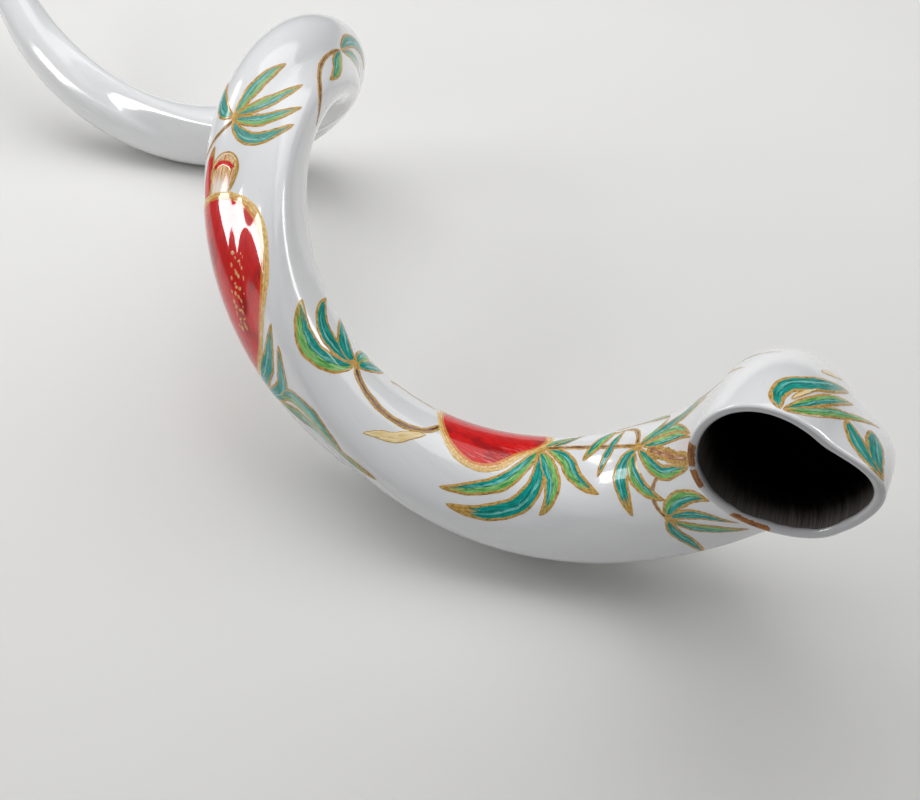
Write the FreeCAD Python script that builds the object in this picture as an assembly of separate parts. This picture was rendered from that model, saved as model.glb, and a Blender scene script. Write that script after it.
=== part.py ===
import FreeCAD, Part
import math
import os

# Yemenite shofar: one kudu horn, lacquered white and painted with pomegranates and leaf sprays.
# Millimetres and degrees. +Z is up and the horn lies on its two lowest bends. The axis that the
# horn winds about runs along +Y, from the bell to the mouth end.

# --- how the horn winds -------------------------------------------------------------------
WINDING_TOTAL = 12.4          # radians from the lip of the bell to the mouth end
START_ANGLE = 28.0            # degrees round the axis where the lip lies
COIL_RADIUS = 124.0           # distance of the horn's middle line from the axis, extrapolated to the lip
COIL_TAPER = 8.7              # loss of that distance per radian
COIL_END_SOFTNESS = 5.4       # how gently the coil runs out into the straight tip
LIP_INWARD = 0.74             # share by which the first bend opens from a tighter start
LIP_INWARD_FADE = 0.91        # radians over which that fades
PITCH = 588.0                 # advance per turn at the lip
PITCH_TAPER = 28.0            # loss of advance per turn, per radian
PITCH_FLOOR = 40.5            # least advance per radian, in the tip
PITCH_SOFTNESS = 4.5
AXIS_DIP = 17.1               # degrees by which the axis falls towards the mouth end
AXIS_BEND_SIDE = -0.000422    # curvature terms of the axis itself, per mm
AXIS_BEND_UP = 0.000333
AXIS_BEND_CENTRE = 135.0

# --- cross-section ------------------------------------------------------------------------
LIP_RADIUS = 34.8             # mean outer radius at the bell
TAPER = 0.0097                # loss of radius per mm of length
TIP_RADIUS = 9.0              # outer radius at the mouth end
TIP_POWER = 5.0               # how late the tip draws in
LIP_DRAW_IN = 0.9             # the lip is rounded in by this much
LIP_DRAW_LENGTH = 22.5
KEEL_HEIGHT = 0.21            # keel ridge, as a share of the radius
KEEL_WIDTH = 0.38             # radians
OVAL_COS = 0.04
OVAL_SIN = 0.076
TRI_COS = 0.01
TRI_SIN = 0.03
KEEL_START = 34.0             # degrees from the outward direction to the keel at the lip
KEEL_TURN = 13.9              # further degrees per radian of winding
ROUNDING_START = 0.75         # share of the length where the section begins to turn round
FLUTE_DEPTH = 0.018           # shallow flutes on both sides of the keel
FLUTE_ANGLE = 0.74
FLUTE_WIDTH = 0.20

# --- wall, bore and mouthpiece ------------------------------------------------------------
WALL_LIP = 3.3
WALL_MIDDLE = 4.4
HOLLOW_END = 0.78             # share of the length where the natural hollow ends
HOLLOW_CLOSING = 0.07         # share of the length over which it narrows to the drilled bore
BORE_RADIUS = 3.2             # drilled bore through the solid tip
CUP_RADIUS = 7.0              # mouthpiece cut into the tip
CUP_DEPTH = 9.0
INNER_KEEL = 0.72             # the hollow follows the keel by this share
INNER_KEEL_LIP = 0.20         # and by this much more at the lip
INNER_KEEL_FADE = 40.0        # mm over which that fades
COAT = 0.4                    # white enamel
COAT_END_GAP = 15.0           # bare horn left at the mouth end
PAINT = 0.25                  # decoration on top of the enamel

# --- named lengths of the horn and of its enamel: name and mm from the lip where each ends. The
# last of each runs to the mouth end.
HORN_LENGTHS = [
    ("bell", 92.0),
    ("throat_upper", 148.0),
    ("throat_lower", 205.0),
    ("first_bend_start", 270.0),
    ("first_bend_middle", 336.0),
    ("first_bend_end", 402.0),
    ("first_turn_start", 470.0),
    ("first_turn_middle", 540.0),
    ("first_turn_end", 611.0),
    ("second_bend_start", 676.0),
    ("second_bend_middle", 742.0),
    ("second_bend_end", 808.0),
    ("second_turn_start", 876.0),
    ("second_turn_middle", 944.0),
    ("second_turn_end", 1012.0),
    ("mouth_end", None)]
COAT_LENGTHS = [
    ("bell", 92.0),
    ("throat", 270.0),
    ("first_bend", 336.0),
    ("first_turn", 611.0),
    ("second_bend", 880.0),
    ("second_turn", 944.0),
    ("mouth_end", None)]

SECTION_POINTS = 40
SECTION_SPACING = 13.0
TABLE_STEP = 0.01


def soft_floor(value, softness):
    """Value where it is well above zero, easing out to a small positive amount below."""
    return 0.5 * (value + math.sqrt(value * value + 4.0 * softness * softness))


def advance(angle):
    """Advance along the axis per radian."""
    plain = (PITCH - PITCH_TAPER * angle) / (2.0 * math.pi)
    return PITCH_FLOOR + soft_floor(plain - PITCH_FLOOR, PITCH_SOFTNESS)


def coil(angle):
    """Distance of the middle line from the axis."""
    plain = soft_floor(COIL_RADIUS - COIL_TAPER * angle, COIL_END_SOFTNESS)
    return plain * (1.0 - LIP_INWARD * math.exp(-angle / LIP_INWARD_FADE))


DIP = math.radians(AXIS_DIP)
AXIS = FreeCAD.Vector(0.0, math.cos(DIP), -math.sin(DIP))
SIDE = FreeCAD.Vector(1.0, 0.0, 0.0)
RISE = FreeCAD.Vector(0.0, math.sin(DIP), math.cos(DIP))
TABLE_START = -0.4
AXIAL = [0.0]
for index in range(int((WINDING_TOTAL + 0.8) / TABLE_STEP)):
    here = TABLE_START + index * TABLE_STEP
    AXIAL.append(AXIAL[-1] + 0.5 * TABLE_STEP * (advance(here) + advance(here + TABLE_STEP)))
AXIAL_ZERO = AXIAL[int(round(-TABLE_START / TABLE_STEP))]


def axial(angle):
    place = (angle - TABLE_START) / TABLE_STEP
    low = int(place)
    return AXIAL[low] + (AXIAL[low + 1] - AXIAL[low]) * (place - low) - AXIAL_ZERO


def outward(angle):
    turn = math.radians(START_ANGLE) - angle
    return SIDE * math.cos(turn) + RISE * math.sin(turn)


def centre(angle):
    """The middle line of the horn."""
    along = axial(angle)
    bend = (along - AXIS_BEND_CENTRE) ** 2
    point = AXIS * along + outward(angle) * coil(angle)
    return point + SIDE * (AXIS_BEND_SIDE * bend) + RISE * (AXIS_BEND_UP * bend)


LENGTHS = [0.0]
previous = centre(TABLE_START)
for index in range(1, int((WINDING_TOTAL + 0.7) / TABLE_STEP)):
    following = centre(TABLE_START + index * TABLE_STEP)
    LENGTHS.append(LENGTHS[-1] + following.sub(previous).Length)
    previous = following
LENGTH_ZERO = LENGTHS[int(round(-TABLE_START / TABLE_STEP))]
LENGTHS = [value - LENGTH_ZERO for value in LENGTHS]


def angle_at(length):
    """Winding angle at a length along the middle line, measured from the lip."""
    low = 0
    high = len(LENGTHS) - 1
    while high - low > 1:
        middle = (low + high) // 2
        if LENGTHS[middle] <= length:
            low = middle
        else:
            high = middle
    share = (length - LENGTHS[low]) / (LENGTHS[high] - LENGTHS[low])
    return TABLE_START + (low + share) * TABLE_STEP


def length_at(angle):
    place = (angle - TABLE_START) / TABLE_STEP
    low = int(place)
    return LENGTHS[low] + (LENGTHS[low + 1] - LENGTHS[low]) * (place - low)


TOTAL = length_at(WINDING_TOTAL)


def frame(length):
    """Centre, outward direction and third direction of the cross-section at a length."""
    angle = angle_at(length)
    step = 0.02
    tangent = centre(angle + step).sub(centre(angle - step)).normalize()
    radial = outward(angle)
    radial = radial.sub(tangent * radial.dot(tangent)).normalize()
    return centre(angle), radial, tangent.cross(radial), angle


def mean_radius(length):
    straight = LIP_RADIUS - TAPER * length - LIP_DRAW_IN * math.exp(-length / LIP_DRAW_LENGTH)
    end_value = LIP_RADIUS - TAPER * TOTAL
    share = max(0.0, length / TOTAL)
    return straight - (end_value - TIP_RADIUS) * share ** TIP_POWER


def wrapped(turn):
    return (turn + math.pi) % (2.0 * math.pi) - math.pi


def section_shape(turn, share, keel=1.0):
    """Radius in one direction, as a factor on the mean radius. The keel is at zero."""
    off = wrapped(turn)
    extra = OVAL_COS * math.cos(2.0 * turn) + OVAL_SIN * math.sin(2.0 * turn)
    extra += TRI_COS * math.cos(3.0 * turn) + TRI_SIN * math.sin(3.0 * turn)
    extra += keel * KEEL_HEIGHT * math.exp(-(off / KEEL_WIDTH) ** 2)
    for side in (-1.0, 1.0):
        extra -= keel * FLUTE_DEPTH * math.exp(-((off - side * FLUTE_ANGLE) / FLUTE_WIDTH) ** 2)
    fade = 1.0 - min(1.0, max(0.0, (share - ROUNDING_START) / (1.0 - ROUNDING_START)))
    return 1.0 + extra * fade


def outer_radius(length, turn):
    share = length / TOTAL
    radius = mean_radius(length) * section_shape(turn, share)
    return radius


def ramp(value, start, end):
    share = min(1.0, max(0.0, (value - start) / (end - start)))
    return share * share * (3.0 - 2.0 * share)


def bore_radius(length, turn):
    share = length / TOTAL
    wall = WALL_LIP + (WALL_MIDDLE - WALL_LIP) * ramp(share, 0.0, 0.25)
    keel = INNER_KEEL + INNER_KEEL_LIP * math.exp(-(max(length, 0.0) / INNER_KEEL_FADE) ** 2)
    hollow = mean_radius(max(length, 0.0)) * section_shape(turn, share, keel) - wall
    if length < 0.0:
        hollow -= 0.02 * length
    closing = ramp(share, HOLLOW_END - HOLLOW_CLOSING, HOLLOW_END)
    radius = hollow + (BORE_RADIUS - hollow) * closing
    cup = ramp(length, TOTAL - CUP_DEPTH, TOTAL)
    if cup > 0.0:
        radius = BORE_RADIUS + (CUP_RADIUS - BORE_RADIUS) * math.sqrt(cup)
    return radius


def surface_point(length, turn, radius):
    """A point at a radius from the middle line, at an angle from the keel."""
    middle, radial, third, angle = frame(length)
    around = math.radians(KEEL_START + KEEL_TURN * angle) + turn
    return middle + radial * (radius * math.cos(around)) + third * (radius * math.sin(around))


# The horn stands with its lowest bend at zero, and its plan box is centred on the origin.
low_corner = [1e9, 1e9, 1e9]
high_corner = [-1e9, -1e9, -1e9]
for step_index in range(int(TOTAL / 2.5) + 1):
    here = step_index * 2.5
    middle, radial, third, angle = frame(here)
    keel_turn = math.radians(KEEL_START + KEEL_TURN * angle)
    for around_index in range(72):
        turn = math.radians(5.0 * around_index)
        radius = outer_radius(here, turn) + COAT
        point = middle + radial * (radius * math.cos(keel_turn + turn)) + third * (radius * math.sin(keel_turn + turn))
        for axis_index in range(3):
            low_corner[axis_index] = min(low_corner[axis_index], point[axis_index])
            high_corner[axis_index] = max(high_corner[axis_index], point[axis_index])
SHIFT = FreeCAD.Vector(-0.5 * (low_corner[0] + high_corner[0]), -0.5 * (low_corner[1] + high_corner[1]), -low_corner[2])


def section_curve(length, radius_of, extra):
    """Closed smooth outline of one cross-section."""
    middle, radial, third, angle = frame(length)
    keel_turn = math.radians(KEEL_START + KEEL_TURN * angle)
    points = []
    for index in range(SECTION_POINTS):
        turn = 2.0 * math.pi * index / SECTION_POINTS
        radius = radius_of(length, turn) + extra
        around = keel_turn + turn
        points.append(middle + SHIFT + radial * (radius * math.cos(around)) + third * (radius * math.sin(around)))
    curve = Part.BSplineCurve()
    places = [index / SECTION_POINTS for index in range(SECTION_POINTS + 1)]
    curve.interpolate(Points=points, PeriodicFlag=True, Parameters=places)
    return curve


def stations(start, end, spacing, more=()):
    count = max(3, int(math.ceil((end - start) / spacing)))
    return sorted(set([start + (end - start) * index / count for index in range(count + 1)] + list(more)))


def skin(places, radius_of, extra=0.0):
    """One smooth surface through the cross-sections at the given lengths."""
    rings = [section_curve(place, radius_of, extra) for place in places]
    share = [(place - places[0]) / (places[-1] - places[0]) for place in places]
    columns = []
    for index in range(rings[0].NbPoles):
        rail = Part.BSplineCurve()
        rail.interpolate(Points=[ring.getPole(index + 1) for ring in rings], Parameters=share)
        columns.append(rail)
    surface = Part.BSplineSurface()
    surface.buildFromPolesMultsKnots([rail.getPoles() for rail in columns], rings[0].getMultiplicities(),
                                     columns[0].getMultiplicities(), rings[0].getKnots(), columns[0].getKnots(),
                                     True, False, rings[0].Degree, columns[0].Degree)
    return surface


def closed_solid(faces):
    sewn = Part.makeCompound(faces)
    sewn.sewShape()
    solid = Part.makeSolid(sewn.Shells[0])
    if solid.Volume < 0.0:
        solid.reverse()
    return solid


def end_disc(surface, at_end):
    place = surface.bounds()[3] if at_end else surface.bounds()[2]
    return Part.Face(Part.Wire([surface.vIso(place).toShape()]))


def end_ring(outer, inner, outer_end, inner_end):
    """Flat ring between the end of one surface and the end of another in the same plane."""
    return end_disc(outer, outer_end).cut(end_disc(inner, inner_end)).Faces[0]


def tube(outer, inner):
    """Solid wall between an outer and an inner surface that end in the same planes."""
    return closed_solid([outer.toShape(), inner.toShape(), end_ring(outer, inner, False, False),
                         end_ring(outer, inner, True, True)])


def lip_coat(end, places):
    """Enamel on the outside of the bell, carried over the flat of the lip."""
    outside = skin([-COAT] + places, outer_radius, COAT)
    lip_places = [-COAT, -0.6 * COAT, -0.3 * COAT, 0.0]
    mouth = skin(lip_places, bore_radius)
    under = skin(places, outer_radius)
    return closed_solid([outside.toShape(), mouth.toShape(), under.toShape(),
                         end_ring(outside, mouth, False, False), end_ring(under, mouth, False, True),
                         end_ring(outside, under, True, True)])


def spread(length, turn):
    """Change of the surface point per mm of length and per radian round the horn."""
    step = 0.5
    ahead = surface_point(length + step, turn, outer_radius(length + step, turn))
    behind = surface_point(length - step, turn, outer_radius(length - step, turn))
    left = surface_point(length, turn + 0.02, outer_radius(length, turn + 0.02))
    right = surface_point(length, turn - 0.02, outer_radius(length, turn - 0.02))
    return ahead.sub(behind) * (0.5 / step), left.sub(right) * 25.0


def sideways(length, turn, along_length, along_turn):
    """Unit step across the surface at right angles to a direction in it."""
    by_length, by_turn = spread(length, turn)
    first = by_length.dot(by_length)
    mixed = by_length.dot(by_turn)
    second = by_turn.dot(by_turn)
    step_length = -(along_length * mixed + along_turn * second)
    step_turn = along_length * first + along_turn * mixed
    size = (by_length * step_length + by_turn * step_turn).Length
    return step_length / size, step_turn / size


def leaf_width(share):
    return max(0.1, max(0.0, math.sin(math.pi * share ** 0.8)) ** 0.62)


def line_width(share):
    return 1.0


def cup_width(share):
    """Nearly straight sides that round off at the open end."""
    return (0.84 + 0.24 * share) * max(0.1, math.sqrt(min(1.0, (1.0 - share) / 0.24)))


def slope_at(knots, places, index):
    """Slope at one place of the parabola through it and its neighbours."""
    if len(places) == 2:
        return [places[1][k] - places[0][k] for k in range(2)]
    first = min(max(index - 1, 0), len(places) - 3)
    here = knots[index]
    slope = [0.0, 0.0]
    for own in range(first, first + 3):
        one, other = [knot for step, knot in enumerate(knots[first:first + 3]) if first + step != own]
        weight = (2.0 * here - one - other) / ((knots[own] - one) * (knots[own] - other))
        for k in range(2):
            slope[k] += weight * places[own][k]
    return slope


def line_place(places, share):
    """Place on the smooth curve through places, each (length, degrees from the keel)."""
    knots = [0.0]
    for one, other in zip(places[:-1], places[1:]):
        knots.append(knots[-1] + math.hypot(other[0] - one[0], (other[1] - one[1]) * MM_PER_DEGREE))
    knots = [knot / knots[-1] for knot in knots]
    low = 0
    while low < len(places) - 2 and knots[low + 1] <= share:
        low += 1
    width = knots[low + 1] - knots[low]
    part = (share - knots[low]) / width
    start_slope = slope_at(knots, places, low)
    end_slope = slope_at(knots, places, low + 1)
    start_share = 2.0 * part ** 3 - 3.0 * part ** 2 + 1.0
    start_pull = (part ** 3 - 2.0 * part ** 2 + part) * width
    end_pull = (part ** 3 - part ** 2) * width
    return [start_share * places[low][k] + (1.0 - start_share) * places[low + 1][k]
            + start_pull * start_slope[k] + end_pull * end_slope[k] for k in range(2)]


def patch_surface(grid):
    """Smooth surface through a grid of points, rows along the stroke and columns across it."""
    across_share = [index / (len(grid[0]) - 1) for index in range(len(grid[0]))]
    along_share = [index / (len(grid) - 1) for index in range(len(grid))]
    rows = []
    for row in grid:
        curve = Part.BSplineCurve()
        curve.interpolate(Points=row, Parameters=across_share)
        rows.append(curve)
    rails = []
    for index in range(rows[0].NbPoles):
        rail = Part.BSplineCurve()
        rail.interpolate(Points=[row.getPole(index + 1) for row in rows], Parameters=along_share)
        rails.append(rail)
    surface = Part.BSplineSurface()
    surface.buildFromPolesMultsKnots([rail.getPoles() for rail in rails], rows[0].getMultiplicities(),
                                     rails[0].getMultiplicities(), rows[0].getKnots(), rails[0].getKnots(),
                                     False, False, rows[0].Degree, rails[0].Degree)
    return surface


def on_coat(length, turn, height):
    """A point a height above the horn wall; paint stops at the lip."""
    length = max(length, LIP_MARGIN)
    return surface_point(length, turn, outer_radius(length, turn) + height) + SHIFT


def thin_solid(grid):
    """Paint film over a grid of (length, radians) places."""
    layers = []
    for height in (COAT + 0.01, COAT + PAINT):
        layers.append(patch_surface([[on_coat(length, turn, height) for length, turn in row] for row in grid]))
    faces = [layers[0].toShape(), layers[1].toShape()]
    for which in range(4):
        edges = []
        for surface in layers:
            low_u, high_u, low_v, high_v = surface.bounds()
            curve = (surface.uIso(low_u), surface.uIso(high_u), surface.vIso(low_v), surface.vIso(high_v))[which]
            edges.append(curve.toShape())
        faces.append(Part.makeRuledSurface(edges[0], edges[1]))
    return closed_solid(faces)


def film(places, width, profile, begin=0.0, steps=9):
    """Raised stroke of paint along a smooth line of places."""
    grid = []
    for along in range(steps + 1):
        share = begin + (1.0 - begin) * along / steps
        length, degrees = line_place(places, share)
        ahead = line_place(places, min(1.0, share + 0.01))
        behind = line_place(places, max(0.0, share - 0.01))
        turn = math.radians(degrees)
        side_length, side_turn = sideways(length, turn, ahead[0] - behind[0], math.radians(ahead[1] - behind[1]))
        row = []
        for across in (-1.0, 0.0, 1.0):
            reach = 0.5 * across * width * profile(share)
            row.append((length + side_length * reach, turn + side_turn * reach))
        grid.append(row)
    return thin_solid(grid)


def fruit_film(middle, outline, steps=12):
    """Raised round patch. The outline gives its radius at an angle, with zero towards the mouth end."""
    grid = []
    for first in range(steps + 1):
        row = []
        for second in range(steps + 1):
            along = 2.0 * first / steps - 1.0
            side = 2.0 * second / steps - 1.0
            flat_along = along * math.sqrt(1.0 - 0.5 * side * side)
            flat_side = side * math.sqrt(1.0 - 0.5 * along * along)
            reach = outline(math.atan2(flat_side, flat_along))
            length = middle[0] + reach * flat_along
            row.append((length, math.radians(middle[1]) + reach * flat_side / mean_radius(length)))
        grid.append(row)
    return thin_solid(grid)


def rim_places(middle, outline, gap, start, end, count=11):
    """Places along a fruit's edge, a gap outside it."""
    places = []
    for index in range(count):
        angle = math.radians(start + (end - start) * index / (count - 1))
        reach = outline(angle) + gap
        length = middle[0] + reach * math.cos(angle)
        places.append((length, middle[1] + math.degrees(reach * math.sin(angle) / mean_radius(length))))
    return places


def bump(angle, middle, width):
    """One where the angle is in the middle of a bump, falling to zero; degrees."""
    off = (math.degrees(angle) - middle + 180.0) % 360.0 - 180.0
    return math.exp(-(off / width) ** 2)


def small_outline(angle):
    """Round, drawn out to a point where the leaves hang from it."""
    return 33.0 + 3.5 * math.cos(angle) + 18.0 * bump(angle, 168.0, 24.0)


def large_outline(angle):
    return 43.2 + 1.8 * math.cos(2.0 * angle) + 3.0 * bump(angle, 180.0, 20.0) + 3.0 * bump(angle, 44.7, 25.8)


# --- painted decoration -------------------------------------------------------------------
# A stroke is a line of (mm from the lip, degrees from the keel) places and a full width in mm;
# stems have one more number, their width at the end as a share of that at the start. Leaves of a
# spray start a little way off the twig that carries them.
MM_PER_DEGREE = 0.55
LIP_MARGIN = 0.3
LEAF_BEGIN = 0.09
SMALL_FRUIT = (312, 124)
LARGE_FRUIT = (493, -88)

LEAF_GROUPS = {
    "bell_top_leaves": [
        ([(1, -83), (6, -89), (13, -87), (19, -76), (27, -63), (39, -49)], 8.4),
        ([(1, -82), (8, -71), (18, -58), (32, -40)], 6.4),
        ([(1, -81), (6, -65), (16, -46), (25, -30), (33, -18)], 5.6),
        ([(17, -38), (11, -30), (6, -21), (3, -12), (2, -4)], 7.0),
        ([(23, -21), (15, -17), (8, -13), (2, -5)], 8.4)],
    "bell_side_blades": [
        ([(160, 153), (146, 166), (134, 181), (120, 192), (92, 204), (63, 206), (36, 222), (28, 236)], 6.4),
        ([(110, 197), (78, 210), (54, 217), (46, 231), (41, 255)], 1.8)],
    "near_bell_leaves": [
        ([(190, 134), (178, 143), (160, 155), (140, 167), (120, 180)], 7.4),
        ([(166, 167), (188, 172), (205, 173), (217, 164)], 5.2),
        ([(187, 141), (177, 148), (170, 157), (165, 165)], 3.4),
        ([(190, 135), (165, 148), (147, 149), (132, 143)], 6.0),
        ([(186, 133), (162, 139), (146, 142), (132, 140)], 6.0),
        ([(190, 132), (182, 118), (172, 106), (158, 108), (144, 112)], 8.8),
        ([(191, 131), (202, 116), (206, 97), (205, 80), (203, 61)], 10.0),
        ([(193, 127), (196, 108), (192, 94), (176, 78)], 8.4),
        ([(215, 160), (224, 143), (230, 128), (236, 113)], 8.2),
        ([(208, 158), (213, 138), (219, 116), (224, 96)], 5.8)],
    "keel_side_leaves": [
        ([(181, 61), (172, 74), (162, 80), (152, 81), (143, 75)], 10.0),
        ([(180, 60), (168, 63), (158, 61), (144, 42)], 6.6),
        ([(180, 58), (169, 47), (160, 40), (147, 28)], 7.6),
        ([(181, 59), (183, 43), (181, 30), (184, 7)], 8.0)],
    "hanging_leaves": [
        ([(271, 117), (280, 84), (290, 63), (303, 49), (327, 30)], 10.2),
        ([(270, 112), (267, 78), (275, 53), (290, 36), (320, 21)], 11.6),
        ([(269, 116), (261, 98), (256, 82), (257, 64), (264, 46)], 9.8),
        ([(265, 120), (248, 110), (242, 96), (235, 87), (223, 79)], 9.4),
        ([(268, 121), (260, 136), (247, 151)], 4.6),
        ([(261, 127), (250, 142), (241, 160)], 3.8)],
    "inner_leaves": [
        ([(414, 50), (424, 28), (438, 16), (450, 15), (466, 22)], 13.4),
        ([(415, 52), (432, 40), (446, 37), (455, 42), (463, 58)], 10.4),
        ([(415, 54), (427, 53), (435, 60), (447, 78)], 9.4),
        ([(414, 54), (415, 74), (416, 98)], 7.4),
        ([(412, 53), (407, 74), (399, 108)], 7.6)],
    "trailing_leaves": [
        ([(441, -90), (445, -52), (452, -26), (461, -12)], 9.0),
        ([(429, -62), (433, -36), (440, -20), (449, -12)], 7.4),
        ([(428, -58), (421, -24), (409, -14), (396, -11), (380, -7), (362, -1)], 9.6),
        ([(427, -66), (415, -54), (404, -44), (391, -28), (373, -18), (357, -8)], 10.0)],
    "upper_leaves": [
        ([(580, -76), (579, -48), (584, -24), (594, -8)], 9.4),
        ([(579, -75), (569, -53), (568, -30), (579, -6)], 10.0),
        ([(581, -78), (584, -92), (592, -106), (607, -118)], 9.8),
        ([(581, -76), (587, -56), (597, -36), (613, -21)], 8.4),
        ([(581, -77), (592, -72), (606, -66), (623, -56)], 8.8)],
    "back_leaves": [
        ([(484, 179), (500, 163), (516, 158), (533, 166)], 9.6),
        ([(484, 181), (500, 194), (514, 198), (531, 190)], 9.8),
        ([(483, 183), (472, 202), (460, 212), (443, 212)], 8.8),
        ([(483, 177), (470, 162), (456, 158), (441, 164)], 8.4),
        ([(675, -43), (690, -62), (708, -70), (731, -62)], 9.8),
        ([(675, -41), (696, -38), (712, -30), (729, -14)], 9.2),
        ([(673, -40), (658, -24), (648, -14), (631, -8)], 8.8)]}

STEM_GROUPS = {
    "near_bell_twigs": [
        ([(266, 122), (250, 129), (235, 132), (208, 134), (191, 134)], 3.4, 0.8),
        ([(192, 135), (192, 146), (198, 157), (207, 160), (216, 154)], 3.6, 0.5),
        ([(182, 130), (167, 125), (155, 121), (139, 120)], 7.8, 0.9)],
    "keel_side_twig": [
        ([(172, 103), (179, 97), (184, 82), (184, 70), (181, 61)], 2.4, 1.0)],
    "middle_branch": [
        ([(413, 52), (400, 46), (386, 46), (371, 50), (357, 59), (348, 70), (343, 88)], 4.4, 0.9),
        ([(390, 95), (384, 108), (370, 115), (352, 118)], 2.6, 0.4)],
    "upper_twig": [
        ([(579, -75), (574, -86), (570, -96), (562, -112)], 3.0, 0.8)],
    "back_branches": [
        ([(556, 150), (530, 170), (506, 178), (484, 180)], 3.4, 0.8),
        ([(592, 20), (620, -10), (648, -32), (674, -42)], 3.4, 0.8)]}

GOLD_STROKES = {
    "gold_bud": [
        ([(381, 19), (372, 30), (364, 38), (357, 50), (348, 63)], 6.6)],
    "gold_bell_tick": [
        ([(33, -74), (38, -68), (43, -59)], 2.6),
        ([(7, -80), (12, -76), (21, -66)], 3.4)],
    "gold_lip_strokes": [
        ([(2.6, 178), (2.6, 189), (2.6, 200)], 3.0),
        ([(2.6, 158), (2.6, 167), (2.6, 176)], 3.0),
        ([(2.6, 94), (2.6, 111), (2.6, 128)], 3.0)],
    "gold_small_fruit_rim": [
        (rim_places(SMALL_FRUIT, small_outline, 1.4, -12, 166), 2.7),
        (rim_places(SMALL_FRUIT, small_outline, 1.4, 170, 346), 2.7)],
    "gold_large_fruit_rim": [
        (rim_places(LARGE_FRUIT, large_outline, 1.4, 2, 178), 2.8),
        (rim_places(LARGE_FRUIT, large_outline, 1.4, 182, 358), 2.8)]}

CROWN_CUP = ([(535, -74), (543, -71), (550, -69), (559, -68)], 15.0)
CROWN_SEPAL = ([(537, -96), (546, -96), (553, -95), (559, -95), (566, -92)], 10.0)
CROWN_EDGE = ([(546, -88), (554, -88), (559, -80), (560, -69), (557, -57), (551, -51), (544, -53), (538, -60)], 2.0)


os.makedirs("parts", exist_ok=True)
start = 0.0
for name, end in HORN_LENGTHS:
    last = end is None
    end = TOTAL if last else end
    places = stations(start, end, SECTION_SPACING)
    inner_places = places
    if last:
        cup_steps = [TOTAL - CUP_DEPTH * share for share in (1.3, 1.0, 0.9, 0.75, 0.55, 0.35, 0.15)]
        inner_places = stations(start, end, SECTION_SPACING, cup_steps)
    wall = tube(skin(places, outer_radius), skin(inner_places, bore_radius))
    wall.exportStep("parts/horn_" + name + ".step")
    print(name, round(start), round(end), "wall", wall.isValid(), wall.isClosed(), round(wall.Volume))
    start = end

start = 0.0
for name, end in COAT_LENGTHS:
    end = TOTAL - COAT_END_GAP if end is None else end
    places = stations(start, end, SECTION_SPACING)
    if start == 0.0:
        coat = lip_coat(end, places)
    else:
        coat = tube(skin(places, outer_radius, COAT), skin(places, outer_radius))
    coat.exportStep("parts/ground_coat_" + name + ".step")
    print(name, round(start), round(end), "coat", coat.isValid(), coat.isClosed(), round(coat.Volume))
    start = end


def save_group(name, solids):
    Part.makeCompound(solids).exportStep("parts/" + name + ".step")
    print(name, len(solids), all(solid.isValid() for solid in solids), round(sum(s.Volume for s in solids), 1))


for name, strokes in LEAF_GROUPS.items():
    save_group(name, [film(places, width, leaf_width, LEAF_BEGIN) for places, width in strokes])
for name, strokes in STEM_GROUPS.items():
    save_group(name, [film(places, width, lambda share, end=end: 1.0 - (1.0 - end) * share)
                      for places, width, end in strokes])
for name, strokes in GOLD_STROKES.items():
    profile = line_width if name.endswith("rim") else leaf_width
    save_group(name, [film(places, width, profile, 0.0, 16) for places, width in strokes])
save_group("pomegranate_crown", [film(*CROWN_CUP, cup_width), film(*CROWN_SEPAL, leaf_width),
                                 film(*CROWN_EDGE, line_width, 0.0, 16)])
save_group("small_pomegranate", [fruit_film(SMALL_FRUIT, small_outline)])
save_group("large_pomegranate", [fruit_film(LARGE_FRUIT, large_outline)])
print("total length", round(TOTAL, 1), "box", [round(high_corner[k] - low_corner[k], 1) for k in range(3)], SHIFT)
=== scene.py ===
import math

import bpy
import numpy as np
from mathutils import Matrix


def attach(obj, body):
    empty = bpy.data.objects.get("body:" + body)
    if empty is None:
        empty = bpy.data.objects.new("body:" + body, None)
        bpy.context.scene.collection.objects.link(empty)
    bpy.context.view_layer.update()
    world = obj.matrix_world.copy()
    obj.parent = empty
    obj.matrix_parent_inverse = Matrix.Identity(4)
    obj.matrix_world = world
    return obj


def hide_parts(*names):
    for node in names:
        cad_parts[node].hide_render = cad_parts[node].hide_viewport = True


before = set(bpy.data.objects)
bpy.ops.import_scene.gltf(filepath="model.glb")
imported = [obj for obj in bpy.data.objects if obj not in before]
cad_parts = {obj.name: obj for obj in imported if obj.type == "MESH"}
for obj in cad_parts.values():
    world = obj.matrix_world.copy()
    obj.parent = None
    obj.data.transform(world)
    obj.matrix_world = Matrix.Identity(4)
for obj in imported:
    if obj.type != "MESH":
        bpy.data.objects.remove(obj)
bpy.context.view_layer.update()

# Looks for a kudu-horn shofar: bare horn, white enamel over it, and hand-painted pomegranates and
# leaf sprays in gold outline. Lengths on the horn are in mm from the lip, angles in degrees from the
# keel; everything is turned into metres when a mesh is made.
MM = 0.001

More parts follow.
